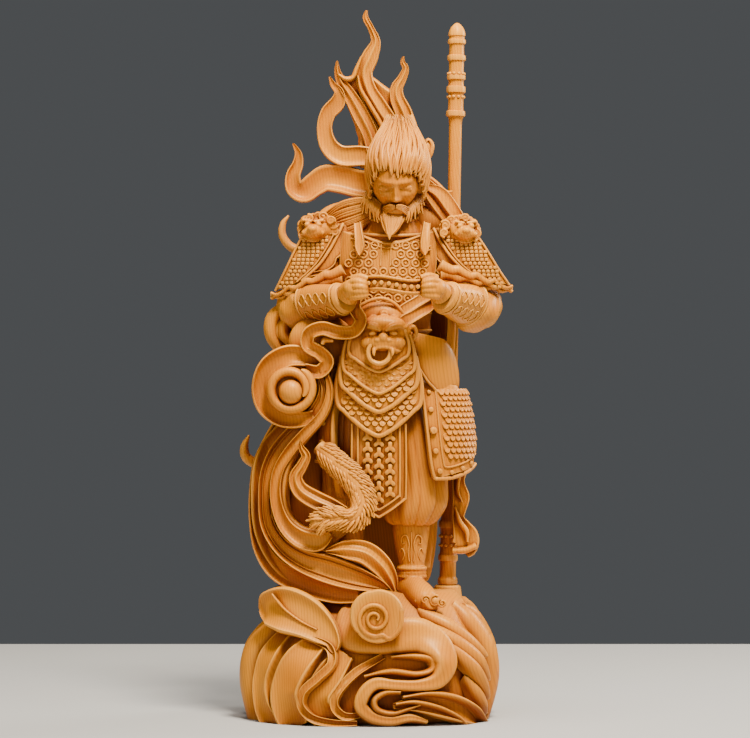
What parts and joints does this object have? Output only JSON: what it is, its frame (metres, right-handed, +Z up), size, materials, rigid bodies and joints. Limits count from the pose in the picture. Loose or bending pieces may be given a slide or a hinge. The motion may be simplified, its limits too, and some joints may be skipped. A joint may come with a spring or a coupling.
{
  "type": "carved guardian figure",
  "caption": "Carved wooden armoured guardian on a base of clouds and rock, with flame crest, flowing scarves and a tall staff that lifts out behind the shoulder.",
  "frame": {"origin": "middle of the base's flat underside", "axes": "+Z up, the figure faces -Y, +X is to the viewer's right"},
  "size_m": [0.1157, 0.088, 0.3],
  "materials": {
    "figure_wood": "hand-carved, waxed, darker in the recesses",
    "base_wood": "hand-carved, waxed, growth rings showing",
    "staff_wood": "turned and waxed"
  },
  "bodies": {
    "figure": {"apron_scaled_lower": "figure_wood", "apron_scaled_upper": "figure_wood", "apron_stippled": "figure_wood", "apron_top": "figure_wood", "back_cape": "figure_wood", "beard": "figure_wood", "belt_mask": "figure_wood", "belt_ribbon": "figure_wood", "centre_panel": "figure_wood", "chest_plate": "figure_wood", "circlet": "figure_wood", "cloud_back": "base_wood", "cloud_flank_left": "base_wood", "cloud_front": "base_wood", "cloud_lobe_left": "base_wood", "cloud_scroll": "base_wood", "cloud_wave": "base_wood", "collar": "figure_wood", "flame_crest": "figure_wood", "fur_tail": "figure_wood", "hair": "figure_wood", "head": "figure_wood", "left_boot": "figure_wood", "left_bracer": "figure_wood", "left_hand": "figure_wood", "left_hip_guard": "figure_wood", "left_pauldron": "figure_wood", "left_pauldron_hem": "figure_wood", "left_shoulder_beast": "figure_wood", "left_sleeve": "figure_wood", "left_tasset": "figure_wood", "left_trouser": "figure_wood", "mask_ring": "figure_wood", "neck_scarf": "figure_wood", "ribbon_scroll": "figure_wood", "right_boot": "figure_wood", "right_bracer": "figure_wood", "right_hand": "figure_wood", "right_pauldron": "figure_wood", "right_pauldron_hem": "figure_wood", "right_shoulder_beast": "figure_wood", "right_sleeve": "figure_wood", "right_tasset": "figure_wood", "right_trouser": "figure_wood", "robe_skirt": "figure_wood", "robe_wave": "figure_wood", "rock_base": "base_wood", "rock_ridge_back": "base_wood", "rock_ridge_right": "base_wood", "scarf_hook": "figure_wood", "scarf_streamer": "figure_wood", "side_flame": "figure_wood", "sleeve_tail": "figure_wood", "tasset_studs": "figure_wood", "torso": "figure_wood", "waist_belt": "figure_wood", "wave_curl": "figure_wood", "wave_hook": "figure_wood"},
    "staff": {"staff": "staff_wood"}
  },
  "joints": [
    {"name": "staff_lift", "type": "slide", "parent": "figure", "child": "staff", "axis": [0.0174, 0, 0.9998], "range_m": [0, 0.25]}
  ]
}
